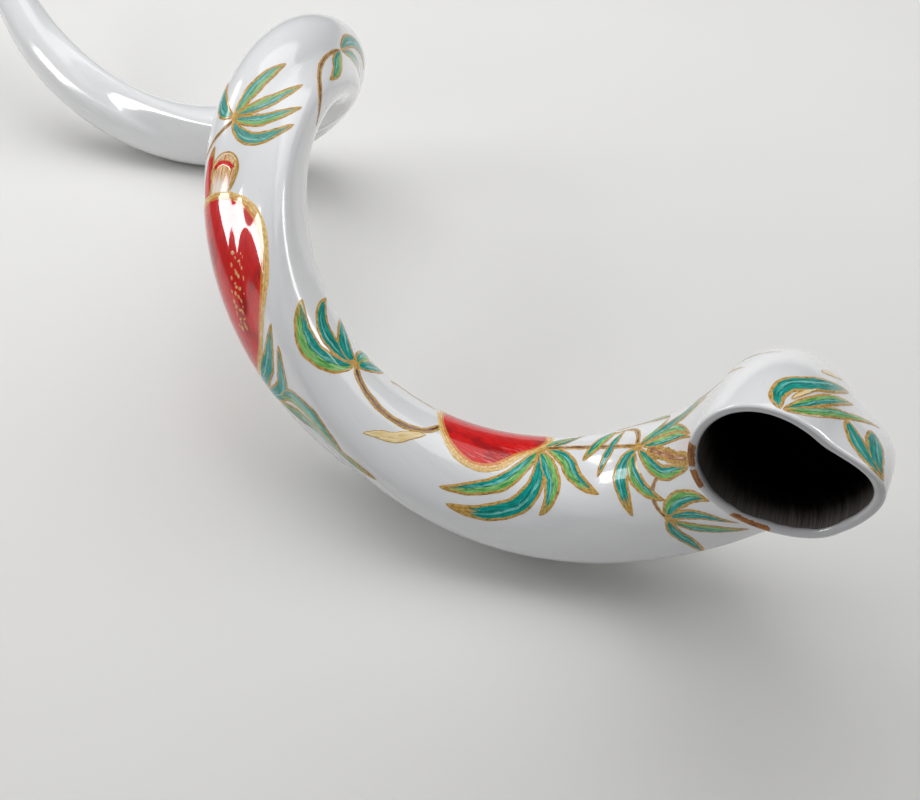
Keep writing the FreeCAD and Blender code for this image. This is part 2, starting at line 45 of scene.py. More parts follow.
# --- how the horn winds: the same dimensions as the CAD part ---
WINDING_TOTAL = 12.4
START_ANGLE = 28.0
COIL_RADIUS = 124.0
COIL_TAPER = 8.7
COIL_END_SOFTNESS = 5.4
LIP_INWARD = 0.74
LIP_INWARD_FADE = 0.91
PITCH = 588.0
PITCH_TAPER = 28.0
PITCH_FLOOR = 40.5
PITCH_SOFTNESS = 4.5
AXIS_DIP = 17.1
AXIS_BEND_SIDE = -0.000422
AXIS_BEND_UP = 0.000333
AXIS_BEND_CENTRE = 135.0
LIP_RADIUS = 34.8
TAPER = 0.0097
TIP_RADIUS = 9.0
TIP_POWER = 5.0
LIP_DRAW_IN = 0.9
LIP_DRAW_LENGTH = 22.5
KEEL_HEIGHT = 0.21
KEEL_WIDTH = 0.38
OVAL_COS = 0.04
OVAL_SIN = 0.076
TRI_COS = 0.01
TRI_SIN = 0.03
KEEL_START = 34.0
KEEL_TURN = 13.9
ROUNDING_START = 0.75
FLUTE_DEPTH = 0.018
FLUTE_ANGLE = 0.74
FLUTE_WIDTH = 0.20
WALL_LIP = 3.3
WALL_MIDDLE = 4.4
HOLLOW_END = 0.78
HOLLOW_CLOSING = 0.07
BORE_RADIUS = 3.2
CUP_RADIUS = 7.0
CUP_DEPTH = 9.0
INNER_KEEL = 0.72
INNER_KEEL_LIP = 0.20
INNER_KEEL_FADE = 40.0
COAT = 0.4
COAT_END_GAP = 15.0

TABLE_START = -0.4
TABLE_STEP = 0.01


def soft_floor(value, softness):
    """The value where it is well above 0, and a little above 0 where it isn't."""
    return 0.5 * (value + np.sqrt(value * value + 4.0 * softness * softness))


def advance(angle):
    """Millimetres along the axis per radian of winding."""
    plain = (PITCH - PITCH_TAPER * angle) / (2.0 * math.pi)
    return PITCH_FLOOR + soft_floor(plain - PITCH_FLOOR, PITCH_SOFTNESS)


def coil(angle):
    """How far the middle line stands from the axis."""
    plain = soft_floor(COIL_RADIUS - COIL_TAPER * angle, COIL_END_SOFTNESS)
    return plain * (1.0 - LIP_INWARD * np.exp(-angle / LIP_INWARD_FADE))


ANGLES = TABLE_START + TABLE_STEP * np.arange(int((WINDING_TOTAL + 0.9) / TABLE_STEP) + 1)
STEPS = advance(ANGLES)
AXIAL = np.concatenate([[0.0], np.cumsum(0.5 * TABLE_STEP * (STEPS[1:] + STEPS[:-1]))])
AXIAL = AXIAL - np.interp(0.0, ANGLES, AXIAL)
DIP = math.radians(AXIS_DIP)
AXIS = np.array([0.0, math.cos(DIP), -math.sin(DIP)])
SIDE = np.array([1.0, 0.0, 0.0])
RISE = np.array([0.0, math.sin(DIP), math.cos(DIP)])


def outward(angle):
    turn = math.radians(START_ANGLE) - np.asarray(angle)
    return np.cos(turn)[..., None] * SIDE + np.sin(turn)[..., None] * RISE


def centre(angle):
    angle = np.asarray(angle, float)
    along = np.interp(angle, ANGLES, AXIAL)
    bend = ((along - AXIS_BEND_CENTRE) ** 2)[..., None]
    point = along[..., None] * AXIS + coil(angle)[..., None] * outward(angle)
    return point + AXIS_BEND_SIDE * bend * SIDE + AXIS_BEND_UP * bend * RISE


MIDDLE = centre(ANGLES)
LENGTHS = np.concatenate([[0.0], np.cumsum(np.linalg.norm(np.diff(MIDDLE, axis=0), axis=1))])
LENGTHS = LENGTHS - np.interp(0.0, ANGLES, LENGTHS)
TOTAL = float(np.interp(WINDING_TOTAL, ANGLES, LENGTHS))


def unit(vector):
    return vector / np.linalg.norm(vector, axis=-1, keepdims=True)


def section_frame(length):
    """Centre, outward direction, third direction and winding angle of the cross-section."""
    angle = np.interp(length, LENGTHS, ANGLES)
    tangent = unit(centre(angle + 0.02) - centre(angle - 0.02))
    radial = outward(angle)
    radial = unit(radial - (radial * tangent).sum(-1, keepdims=True) * tangent)
    return centre(angle), radial, np.cross(tangent, radial), angle


def mean_radius(length):
    straight = LIP_RADIUS - TAPER * length - LIP_DRAW_IN * np.exp(-length / LIP_DRAW_LENGTH)
    end_value = LIP_RADIUS - TAPER * TOTAL
    return straight - (end_value - TIP_RADIUS) * np.clip(length / TOTAL, 0.0, None) ** TIP_POWER


def section_shape(turn, share, keel=1.0):
    """Outline of the cross-section as a multiple of its mean radius: oval, with a keel and flutes."""
    off = (turn + math.pi) % (2.0 * math.pi) - math.pi
    extra = OVAL_COS * np.cos(2.0 * turn) + OVAL_SIN * np.sin(2.0 * turn)
    extra = extra + TRI_COS * np.cos(3.0 * turn) + TRI_SIN * np.sin(3.0 * turn)
    extra = extra + keel * KEEL_HEIGHT * np.exp(-(off / KEEL_WIDTH) ** 2)
    for side in (-1.0, 1.0):
        extra = extra - keel * FLUTE_DEPTH * np.exp(-((off - side * FLUTE_ANGLE) / FLUTE_WIDTH) ** 2)
    fade = 1.0 - np.clip((share - ROUNDING_START) / (1.0 - ROUNDING_START), 0.0, 1.0)
    return 1.0 + extra * fade


def outer_radius(length, turn):
    return mean_radius(length) * section_shape(turn, length / TOTAL)


def ramp(value, start, end):
    """0 before start, 1 after end, smooth between."""
    share = np.clip((value - start) / (end - start), 0.0, 1.0)
    return share * share * (3.0 - 2.0 * share)


def bore_radius(length, turn):
    share = length / TOTAL
    wall = WALL_LIP + (WALL_MIDDLE - WALL_LIP) * ramp(share, 0.0, 0.25)
    keel = INNER_KEEL + INNER_KEEL_LIP * np.exp(-(np.maximum(length, 0.0) / INNER_KEEL_FADE) ** 2)
    hollow = mean_radius(np.maximum(length, 0.0)) * section_shape(turn, share, keel) - wall
    hollow = hollow - 0.02 * np.minimum(length, 0.0)
    radius = hollow + (BORE_RADIUS - hollow) * ramp(share, HOLLOW_END - HOLLOW_CLOSING, HOLLOW_END)
    cup = ramp(length, TOTAL - CUP_DEPTH, TOTAL)
    return np.where(cup > 0.0, BORE_RADIUS + (CUP_RADIUS - BORE_RADIUS) * np.sqrt(cup), radius)


def place_points(length, turn, radius):
    """Points in the part's frame, mm, at a radius from the middle line and an angle from the keel."""
    length, turn, radius = np.broadcast_arrays(np.asarray(length, float), turn, radius)
    middle, radial, third, angle = section_frame(length)
    around = np.radians(KEEL_START + KEEL_TURN * angle) + turn
    across = np.cos(around)[..., None] * radial + np.sin(around)[..., None] * third
    return middle + SHIFT + radius[..., None] * across


SHIFT = np.zeros(3)
PROBE_LENGTH = np.arange(0.0, TOTAL, 2.5)[:, None]
PROBE_TURN = np.radians(np.arange(0.0, 360.0, 5.0))[None, :]
PROBE = place_points(PROBE_LENGTH, PROBE_TURN, outer_radius(PROBE_LENGTH, PROBE_TURN) + COAT).reshape(-1, 3)
PROBE_MIDDLE = 0.5 * (PROBE.min(axis=0) + PROBE.max(axis=0))
SHIFT = np.array([-PROBE_MIDDLE[0], -PROBE_MIDDLE[1], -PROBE[:, 2].min()])


def skin_point(length, turn, height=0.0):
    """Points on the enamel, or a height above it."""
    return place_points(length, turn, outer_radius(length, turn) + COAT + height)


# --- meshes ---
def build_object(name, vertices, faces, attributes, materials, material_index=None):
    """A mesh object from mm vertices, with float or vector attributes on its points."""
    mesh = bpy.data.meshes.new(name)
    mesh.from_pydata((np.asarray(vertices) * MM).tolist(), [], np.asarray(faces).tolist())
    for key, values in attributes.items():
        values = np.asarray(values, dtype=np.float32)
        if values.ndim == 1:
            mesh.attributes.new(key, "FLOAT", "POINT").data.foreach_set("value", values)
        else:
            mesh.attributes.new(key, "FLOAT_VECTOR", "POINT").data.foreach_set("vector", values.ravel())
    for material in materials:
        mesh.materials.append(material)
    if material_index is not None:
        mesh.polygons.foreach_set("material_index", np.asarray(material_index, dtype=np.int32))
    mesh.shade_smooth()
    mesh.update()
    obj = bpy.data.objects.new(name, mesh)
    bpy.context.scene.collection.objects.link(obj)
    return obj


def grid_faces(rows, columns, closed=False, flip=False):
    row = np.arange(rows - 1)[:, None]
    last = columns if closed else columns - 1
    column = np.arange(last)[None, :]
    following = (column + 1) % columns
    first = row * columns + column
    second = row * columns + following
    third = (row + 1) * columns + following
    fourth = (row + 1) * columns + column
    order = (first, fourth, third, second) if flip else (first, second, third, fourth)
    return np.stack([np.broadcast_to(corner, (rows - 1, last)) for corner in order], axis=-1).reshape(-1, 4)


class Sheet:
    """Collects the patches of one painted piece, which stands for one CAD node."""

    def __init__(self):
        self.points = []
        self.faces = []
        self.index = []
        self.data = {}
        self.count = 0

    def add(self, points, faces, values, material=0):
        self.points.append(points)
        self.faces.append(faces + self.count)
        self.index.append(np.full(len(faces), material))
        for key, value in values.items():
            self.data.setdefault(key, []).append(value)
        self.count += len(points)

    def finish(self, node, slot, *materials):
        values = {key: np.concatenate(parts) for key, parts in self.data.items()}
        piece = build_object("paint_" + node, np.concatenate(self.points), np.concatenate(self.faces),
                             values, materials, np.concatenate(self.index))
        keep(piece, slot, node)


# --- materials ---
def linear(red, green, blue):
    """Display colour 0-255 as a linear colour."""
    values = []
    for channel in (red, green, blue):
        share = channel / 255.0
        values.append(share / 12.92 if share <= 0.04045 else ((share + 0.055) / 1.055) ** 2.4)
    return (values[0], values[1], values[2], 1.0)


class Nodes:
    """Short calls for building a node tree."""

    def __init__(self, name):
        self.material = bpy.data.materials.new(name)
        self.material.use_nodes = True
        self.tree = self.material.node_tree
        self.shader = self.tree.nodes["Principled BSDF"]

    def link(self, source, target):
        self.tree.links.new(source, target)

    def put(self, value, socket):
        """Link a socket's output, or set a number or a display colour."""
        if isinstance(value, bpy.types.NodeSocket):
            self.link(value, socket)
        elif isinstance(value, tuple):
            socket.default_value = linear(*value)
        else:
            socket.default_value = value

    def attribute(self, name, output="Fac"):
        node = self.tree.nodes.new("ShaderNodeAttribute")
        node.attribute_name = name
        return node.outputs[output]

    def math(self, operation, first, second=0.0, third=0.0):
        node = self.tree.nodes.new("ShaderNodeMath")
        node.operation = operation
        for value, socket in zip((first, second, third), node.inputs):
            self.put(value, socket)
        return node.outputs[0]

    def first(self, vector):
        """The first of a vector's three values."""
        node = self.tree.nodes.new("ShaderNodeSeparateXYZ")
        self.link(vector, node.inputs[0])
        return node.outputs[0]

    def plus(self, first, second):
        return self.math("ADD", first, second)

    def minus(self, first, second):
        return self.math("SUBTRACT", first, second)

    def times(self, first, second):
        return self.math("MULTIPLY", first, second)

    def grain(self, vector, along, across, detail=3.0, roughness=0.55, distortion=0.0):
        """Noise with so many waves per unit of the vector's first value and of its second."""
        stretched = self.tree.nodes.new("ShaderNodeVectorMath")
        stretched.operation = "MULTIPLY"
        self.link(vector, stretched.inputs[0])
        stretched.inputs[1].default_value = (along, across, 1.0)
        node = self.tree.nodes.new("ShaderNodeTexNoise")
        self.link(stretched.outputs[0], node.inputs["Vector"])
        node.inputs["Scale"].default_value = 1.0
        node.inputs["Detail"].default_value = detail
        node.inputs["Roughness"].default_value = roughness
        node.inputs["Distortion"].default_value = distortion
        return node.outputs["Fac"]

    def step(self, value, low, high):
        """0 below low, 1 above high, smooth between."""
        node = self.tree.nodes.new("ShaderNodeMapRange")
        node.interpolation_type = "SMOOTHSTEP"
        self.put(value, node.inputs["Value"])
        self.put(low, node.inputs["From Min"])
        self.put(high, node.inputs["From Max"])
        return node.outputs["Result"]

    def ramp(self, value, stops):
        node = self.tree.nodes.new("ShaderNodeValToRGB")
        self.link(value, node.inputs[0])
        ends = node.color_ramp.elements
        for end, (position, colour) in zip((ends[0], ends[1]), (stops[0], stops[-1])):
            end.position = position
            end.color = linear(*colour)
        for position, colour in stops[1:-1]:
            ends.new(position).color = linear(*colour)
        return node.outputs[0]

    def mix(self, factor, first, second):
        node = self.tree.nodes.new("ShaderNodeMix")
        node.data_type = "RGBA"
        self.put(factor, node.inputs[0])
        self.put(first, node.inputs[6])
        self.put(second, node.inputs[7])
        return node.outputs[2]

    def bump(self, height, distance):
        """Fine relief: a height of 0 to 1 stands for 0 to distance in metres."""
        node = self.tree.nodes.new("ShaderNodeBump")
        node.inputs["Distance"].default_value = distance
        self.link(height, node.inputs["Height"])
        self.link(node.outputs[0], self.shader.inputs["Normal"])

    def finish(self, colour, roughness, **constants):
        """Constants are named as the shader's sockets are, with _ for a space."""
        self.put(colour, self.shader.inputs["Base Color"])
        self.put(roughness, self.shader.inputs["Roughness"])
        for key, value in constants.items():
            self.shader.inputs[key.replace("_", " ")].default_value = value
        return self.material


# Colours are display colours, 0-255.
WHITE = (239, 240, 241)
GOLD = (195, 152, 76)
PALE_GOLD = (232, 198, 124)
OLIVE = (122, 100, 36)
ORANGE = (222, 140, 62)


def enamel_material():
    kit = Nodes("white_enamel_gloss")
    surface = kit.attribute("surface", "Vector")
    cloud = kit.grain(surface, 0.012, 0.02)
    brush = kit.grain(surface, 0.02, 0.22, 4.0, 0.6)
    fine = kit.grain(surface, 0.10, 1.1, 3.0, 0.6)
    colour = kit.mix(cloud, (230, 231, 233), WHITE)
    colour = kit.mix(kit.step(fine, 0.62, 0.80), colour, (218, 219, 222))
    speck = kit.grain(surface, 0.35, 0.35, 2.0)
    colour = kit.mix(kit.step(speck, 0.77, 0.80), colour, (176, 172, 166))
    lip = kit.attribute("lip_share")
    worn = kit.times(kit.grain(surface, 0.9, 0.25, 4.0), 0.5)
    colour = kit.mix(kit.step(kit.plus(lip, worn), 1.05, 1.25), colour, (120, 110, 100))
    # Painted shade: the lip face and the enamel rolled into the bore are mixed towards grey.
    colour = kit.mix(kit.times(kit.step(lip, 0.05, 0.20), 0.45), colour, (150, 150, 154))
    height = kit.plus(kit.times(brush, 0.8), kit.times(fine, 0.12))
    kit.bump(height, 0.00028)
    rough = kit.math("MULTIPLY_ADD", brush, 0.10, 0.14)
    return kit.finish(colour, rough, Coat_Weight=1.0, Coat_Roughness=0.10, Coat_IOR=1.6, IOR=1.5,
                      Specular_IOR_Level=0.25)


def horn_material():
    kit = Nodes("kudu_horn")
    surface = kit.attribute("surface", "Vector")
    inside = kit.attribute("inside")
    streak = kit.grain(surface, 0.006, 0.42, 5.0, 0.62)
    fibre = kit.grain(surface, 0.02, 2.4, 4.0, 0.6)
    rings = kit.grain(surface, 0.16, 0.03)
    wall = kit.ramp(streak, [(0.34, (16, 12, 10)), (0.52, (36, 31, 28)),
                             (0.70, (86, 80, 76))])
    wall = kit.mix(kit.step(fibre, 0.55, 0.75), wall, (34, 27, 22))
    # Painted shade: the bore darkens from 20 to 110 mm in from the lip.
    depth = kit.first(surface)
    wall = kit.mix(kit.step(depth, 20.0, 110.0), wall, (20, 12, 9))
    # Painted light: for the first 34 mm in from the lip the bore is lighter, with the horn's fibre streaks
    # showing in it.
    near = kit.minus(1.0, kit.step(depth, 1.0, 34.0))
    grain = kit.mix(kit.step(fibre, 0.30, 0.70), (70, 66, 62), (168, 162, 156))
    wall = kit.mix(kit.times(near, 0.65), wall, grain)
    tip = kit.ramp(streak, [(0.35, (30, 24, 20)), (0.55, (66, 52, 40)),
                            (0.72, (128, 104, 78))])
    colour = kit.mix(inside, tip, wall)
    relief = kit.plus(kit.times(streak, 1.0), kit.times(fibre, 0.35))
    relief = kit.plus(relief, kit.times(rings, 0.5))
    kit.bump(relief, 0.0007)
    rough = kit.math("MULTIPLY_ADD", fibre, 0.25, kit.math("MULTIPLY_ADD", inside, 0.12, 0.22))
    return kit.finish(colour, rough, IOR=1.54, Specular_IOR_Level=0.45)


# The gold rim is this share of its nominal width where it is narrowest, and wanders by so much more.
# At a leaf's tip the gold starts and is full at these shares of its length, ragged by the last number.
RIM_NARROW = 0.45
RIM_WANDER = 1.1
TIP_GOLD_START = 0.77
TIP_GOLD_FULL = 0.85
TIP_GOLD_RAGGED = 0.34


def painted(name, colour_of, rim_colour=None, lacquer=1.38):
    """Glossy brushed paint under a clear coat whose index of refraction is lacquer.

    colour_of gives the colour inside the gold outline, rim_colour that of a line that is all gold.
    """
    kit = Nodes(name)
    brush = kit.attribute("brush", "Vector")
    across = kit.attribute("across")
    along = kit.attribute("along")
    tone = kit.attribute("tone")
    edge = kit.attribute("edge")
    rim = kit.attribute("rim")
    streak = kit.grain(brush, 0.16, 1.5, 4.0, 0.6, 0.4)
    wobble = kit.grain(brush, 0.45, 0.45)
    inside = colour_of(kit, across, along, tone, streak, brush)
    gold_streak = kit.grain(brush, 0.5, 1.1, 4.0)
    gold = kit.ramp(gold_streak, [(0.30, OLIVE), (0.46, GOLD), (0.60, (212, 170, 94)),
                                  (0.74, PALE_GOLD)])
    if rim_colour is not None:
        gold = rim_colour(kit, across, gold_streak)
    limit = kit.times(rim, kit.math("MULTIPLY_ADD", wobble, RIM_WANDER, RIM_NARROW))
    outline = kit.step(kit.minus(edge, limit), -0.10, 0.10)
    ragged = kit.times(kit.minus(streak, 0.5), TIP_GOLD_RAGGED)
    golden = kit.step(kit.plus(along, ragged), TIP_GOLD_START, TIP_GOLD_FULL)
    covered = kit.times(golden, kit.attribute("gold_tip"))
    open_tip = kit.minus(1.0, covered)
    colour = kit.mix(kit.times(outline, open_tip), gold, inside)
    height = kit.plus(kit.times(streak, 0.5), kit.times(gold_streak, 0.4))
    kit.bump(height, 0.00030)
    rough = kit.math("MULTIPLY_ADD", streak, 0.14, 0.16)
    return kit.finish(colour, rough, Coat_Weight=1.0, Coat_Roughness=0.03, Coat_IOR=lacquer, IOR=1.5,
                      Specular_IOR_Level=0.12)


def leaf_colour(kit, across, along, tone, streak, brush):
    body = kit.ramp(streak, [(0.26, (0, 84, 78)), (0.40, (0, 128, 116)),
                             (0.54, (4, 158, 146)), (0.68, (44, 184, 174)),
                             (0.82, (136, 222, 210))])
    green = kit.ramp(streak, [(0.28, (30, 116, 62)), (0.42, (86, 164, 80)),
                              (0.56, (136, 198, 116)), (0.72, (186, 224, 156))])
    drift = kit.times(kit.minus(streak, 0.5), 0.9)
    side = kit.plus(across, drift)
    band = kit.times(kit.step(side, -0.02, 0.10), kit.step(tone, 0.25, 0.30))
    colour = kit.mix(band, body, green)
    all_green = kit.step(tone, 0.74, 0.78)
    colour = kit.mix(kit.times(all_green, kit.step(side, -0.45, -0.30)), colour, green)
    line = kit.math("ABSOLUTE", kit.plus(side, 0.16))
    light = kit.minus(1.0, kit.step(line, 0.03, 0.14))
    before_tip = kit.minus(1.0, kit.step(along, 0.60, 0.84))
    fade = kit.times(kit.step(along, 0.12, 0.32), before_tip)
    light = kit.times(light, kit.times(fade, 0.75))
    colour = kit.mix(light, colour, (150, 222, 216))
    dark = kit.math("ABSOLUTE", kit.minus(side, 0.02))
    vein = kit.times(kit.minus(1.0, kit.step(dark, 0.03, 0.10)), 0.55)
    colour = kit.mix(vein, colour, (0, 66, 60))
    return kit.mix(kit.attribute("pale"), colour, (184, 202, 190))


def stem_colour(kit, across, along, tone, streak, brush):
    body = kit.ramp(streak, [(0.30, (66, 38, 26)), (0.46, (122, 84, 66)),
                             (0.62, (176, 146, 138)), (0.80, (206, 184, 178))])
    tan = kit.ramp(streak, [(0.32, (120, 70, 40)), (0.46, (186, 130, 88)),
                            (0.58, (206, 160, 122)), (0.66, (240, 234, 226)),
                            (0.76, (200, 140, 70))])
    body = kit.mix(tone, body, tan)
    ends = kit.math("ABSOLUTE", kit.minus(along, 0.5))
    return kit.mix(kit.times(kit.step(ends, 0.30, 0.48), 0.7), body, (58, 30, 18))


def red_colour(kit, across, along, tone, streak, brush):
    body = kit.ramp(streak, [(0.26, (158, 0, 3)), (0.42, (204, 1, 4)),
                             (0.60, (228, 5, 6)), (0.82, (238, 40, 30))])
    patch = kit.grain(brush, 0.05, 0.09)
    body = kit.mix(kit.times(kit.step(patch, 0.50, 0.66), 0.65), body, (138, 0, 6))
    cross = kit.grain(brush, 0.10, 0.9, 5.0, 0.7, 0.6)
    pale = kit.times(kit.attribute("pale"), kit.step(cross, 0.50, 0.62))
    return kit.mix(pale, body, (232, 146, 144))


def rim_colours(kit, across, streak):
    inner = kit.ramp(streak, [(0.30, (204, 128, 56)), (0.55, ORANGE), (0.80, (240, 176, 100))])
    outer = kit.ramp(streak, [(0.30, (214, 164, 84)), (0.50, (238, 200, 128)),
                              (0.72, (250, 228, 176))])
    place = kit.plus(across, kit.times(kit.minus(streak, 0.5), 0.9))
    colour = kit.mix(kit.step(place, -0.25, -0.05), inner, outer)
    from_line = kit.math("ABSOLUTE", kit.minus(place, 0.28))
    line = kit.minus(1.0, kit.step(from_line, 0.05, 0.14))
    return kit.mix(kit.times(line, 0.6), colour, (188, 128, 52))


def bud_colour(kit, across, along, tone, streak, brush):
    return kit.ramp(streak, [(0.30, (222, 184, 112)), (0.50, (244, 222, 168)),
                             (0.72, (252, 240, 206))])


def gold_colour(kit, across, along, tone, streak, brush):
    return kit.ramp(streak, [(0.30, (150, 104, 34)), (0.50, GOLD), (0.72, (226, 186, 110))])


def cup_colour(kit, across, along, tone, streak, brush):
    stripe = kit.grain(brush, 0.05, 1.2, 3.0, 0.6)
    colour = kit.ramp(stripe, [(0.36, (186, 52, 38)), (0.44, (210, 150, 74)),
                               (0.56, (246, 224, 184)), (0.70, (198, 142, 64))])
    # The foot of the cup fades towards near white: cream paint with a painted highlight in it.
    cream_foot_highlight = kit.times(kit.minus(1.0, kit.step(along, 0.30, 0.62)), 0.8)
    return kit.mix(cream_foot_highlight, colour, (246, 238, 228))


def seed_colour(kit, across, along, tone, streak, brush):
    return kit.ramp(streak, [(0.30, (216, 146, 78)), (0.70, (244, 196, 136))])


def amber_colour(kit, across, along, tone, streak, brush):
    colour = kit.ramp(streak, [(0.30, (78, 38, 2)), (0.46, (146, 84, 10)),
                               (0.62, (180, 114, 26)), (0.78, (212, 156, 76))])
    ragged = kit.times(kit.grain(brush, 0.6, 0.5), 3.6)
    rubbed = kit.step(kit.minus(kit.attribute("edge"), ragged), -0.7, 0.15)
    return kit.mix(rubbed, (206, 206, 208), colour)


ENAMEL = enamel_material()
HORN = horn_material()
LEAF = painted("leaf_paint_brushed", leaf_colour)
STEM = painted("stem_paint_brushed", stem_colour)
RED = painted("pomegranate_red_brushed", red_colour, lacquer=1.70)
THIN_RED = painted("pomegranate_red_thin_lacquer", red_colour, lacquer=1.42)
RIM = painted("fruit_rim_gold", bud_colour, rim_colours, 1.55)
BUD = painted("pale_gold_bud", bud_colour)
GOLD_LINE = painted("gold_line", gold_colour)
AMBER = painted("lip_gold_brown", amber_colour)
CUP = painted("crown_cup_striped", cup_colour)
SEED = painted("seed_gold", seed_colour)

# --- the enamel and the bare horn ---
AROUND = 180
GRAIN_RADIUS = 32.0
TURNS = np.linspace(0.0, 2.0 * math.pi, AROUND, endpoint=False)[None, :]


def surface_values(length, turn):
    """Millimetres along and round the horn, for the grain of the materials.

    The two sides of the horn are mirror images in the second value and differ in the third.
    """
    length, turn = np.broadcast_arrays(length, turn)
    half = np.abs((turn + math.pi) % (2.0 * math.pi) - math.pi)
    side = np.sign(np.sin(turn)) * 7.0
    return np.stack([length, half * GRAIN_RADIUS, side], axis=-1).reshape(-1, 3)


# The enamel rolls over the lip, from the bore to the outside: mm from the lip, share of the wall from
# bore to outside, mm added to the radius, and how bare (1) the enamel is there; from 0.2 up it also
# carries painted shade, grey over the lip face and where it rolls into the bore.
LIP_PROFILE = [
    (4.2, 0.0, -0.05, 1.0), (3.0, 0.0, -0.30, 1.0), (1.6, 0.0, -0.34, 0.4), (0.7, 0.0, -0.30, 0.4),
    (0.15, 0.06, 0.0, 0.2), (-0.18, 0.16, 0.0, 0.2), (-0.36, 0.30, 0.0, 0.2), (-0.40, 0.5, 0.0, 0.2),
    (-0.36, 0.70, 0.0, 0.2), (-0.16, 0.86, 0.0, 0.0), (0.2, 0.955, 0.0, 0.0), (0.8, 0.99, 0.0, 0.0)]
RAGGED_RINGS = 3


class Tube:
    """Rings round the horn: each a length, a radius at every turn, and one value for the material."""

    def __init__(self):
        self.lengths = []
        self.radii = []
        self.values = []

    def ring(self, length, radius, value):
        self.lengths.append(length + np.zeros_like(TURNS))
        self.radii.append(radius + np.zeros_like(TURNS))
        self.values.append(value + np.zeros_like(TURNS))

    def finish(self, name, material, value_name, flip):
        length = np.concatenate(self.lengths)
        turn = np.broadcast_to(TURNS, length.shape)
        points = place_points(length, turn, np.concatenate(self.radii)).reshape(-1, 3)
        values = {"surface": surface_values(length, turn), value_name: np.concatenate(self.values).ravel()}
        faces = grid_faces(length.shape[0], AROUND, closed=True, flip=flip)
        return build_object(name, points, faces, values, [material])


def build_enamel():
    wave = 0.7 * np.sin(5.0 * TURNS + 0.4) + 0.5 * np.sin(11.0 * TURNS + 1.3) + 0.3 * np.sin(23.0 * TURNS)
    tube = Tube()
    for index, (length, share, drop, lip) in enumerate(LIP_PROFILE):
        inner = bore_radius(length, TURNS)
        outer = outer_radius(length, TURNS) + COAT
        ragged = wave * max(0.0, 1.0 - index / RAGGED_RINGS)
        tube.ring(length + ragged, inner + (outer - inner) * share + drop, lip)
    end = TOTAL - COAT_END_GAP
    near_lip = np.arange(1.8, 40.0, 1.4)
    for length in np.concatenate([near_lip, np.arange(40.0, end, 2.4), [end - 0.8, end - 0.2]]):
        tube.ring(length, outer_radius(length, TURNS) + COAT, 0.0)
    for step_in in (0.12, 0.35):
        tube.ring(end, outer_radius(end, TURNS) + COAT - step_in, 0.0)
    return tube.finish("white_enamel", ENAMEL, "lip_share", flip=True)


def build_horn():
    """Bare horn: the hollow from under the enamel down to the drilled bore, the cup and the tip."""
    tube = Tube()
    hollow_end = TOTAL * HOLLOW_END
    cup_shares = np.array([1.0, 0.97, 0.9, 0.8, 0.65, 0.5, 0.35, 0.2, 0.1, 0.04])
    for length in np.concatenate([np.arange(0.9, 60.0, 1.5), np.arange(60.0, hollow_end + 4.0, 3.0),
                                  np.arange(hollow_end + 8.0, TOTAL - CUP_DEPTH, 8.0),
                                  TOTAL - CUP_DEPTH * cup_shares]):
        tube.ring(length, bore_radius(length, TURNS), 1.0)
    outer_end = outer_radius(TOTAL, TURNS)
    for back, radius in ((0.25, CUP_RADIUS + 0.1), (0.0, CUP_RADIUS + 0.45), (0.0, outer_end - 0.55),
                         (0.12, outer_end - 0.22), (0.45, outer_end - 0.04)):
        tube.ring(TOTAL - back, radius, 0.0)
    for back in np.arange(1.2, COAT_END_GAP + 3.0, 1.2):
        tube.ring(TOTAL - back, outer_radius(TOTAL - back, TURNS), 0.0)
    return tube.finish("bare_horn", HORN, "inside", flip=False)


enamel = build_enamel()
horn = build_horn()

# --- painted strokes ---
# mm: how far the paint stands off the enamel at its edge, how much more inside, how much further a
# ring lies over its disc, the nearest that a stroke comes to the lip, and a rim wider than any stroke.
FLOAT = 0.05
RELIEF = 0.15
RING_LIFT = 0.04
LIP_CLEAR = 0.3
ALL_GOLD = 9.0
DISC_RINGS = 26
DISC_SECTORS = 96
RING_COLUMNS = 9
RING_SECTORS = 160


def spread(length, turn):
    """Change of the surface point per mm of length and per radian round the horn."""
    by_length = skin_point(length + 0.5, turn) - skin_point(length - 0.5, turn)
    by_turn = (skin_point(length, turn + 0.02) - skin_point(length, turn - 0.02)) * 25.0
    return by_length, by_turn


def sideways(length, turn, along_length, along_turn):
    """Unit step across the surface, at right angles to a direction in it."""
    by_length, by_turn = spread(length, turn)
    first = (by_length * by_length).sum(-1)
    mixed = (by_length * by_turn).sum(-1)
    second = (by_turn * by_turn).sum(-1)
    step_length = -(along_length * mixed + along_turn * second)
    step_turn = along_length * first + along_turn * mixed
    size = np.linalg.norm(by_length * step_length[:, None] + by_turn * step_turn[:, None], axis=-1)
    return step_length / size, step_turn / size


def smooth_line(places, share):
    """Smooth curve through (mm, degrees) places, at shares 0 to 1 of its drawn length."""
    places = np.asarray(places, float)
    gaps = np.hypot(np.diff(places[:, 0]), np.diff(places[:, 1]) * 0.55)
    knots = np.concatenate([[0.0], np.cumsum(gaps)])
    knots = knots / knots[-1]
    slopes = np.gradient(places, knots, axis=0, edge_order=1 if len(places) < 3 else 2)
    index = np.clip(np.searchsorted(knots, share, side="right") - 1, 0, len(knots) - 2)
    width = (knots[index + 1] - knots[index])[:, None]
    part = ((share - knots[index])[:, None]) / width
    start = places[index]
    end = places[index + 1]
    near = (2 * part ** 3 - 3 * part ** 2 + 1) * start
    near = near + (part ** 3 - 2 * part ** 2 + part) * width * slopes[index]
    return near + (3 * part ** 2 - 2 * part ** 3) * end + (part ** 3 - part ** 2) * width * slopes[index + 1]


def leaf_profile(share, belly):
    power = math.log(0.5) / math.log(belly)
    return np.clip(np.sin(math.pi * np.clip(share, 0.0, 1.0) ** power), 0.0, 1.0) ** 0.62


def stem_profile(share, belly):
    ends = np.clip(np.minimum(share, 1.0 - share) / 0.05, 0.0, 1.0)
    return (1.0 - (1.0 - belly) * share) * (0.4 + 0.6 * ends)


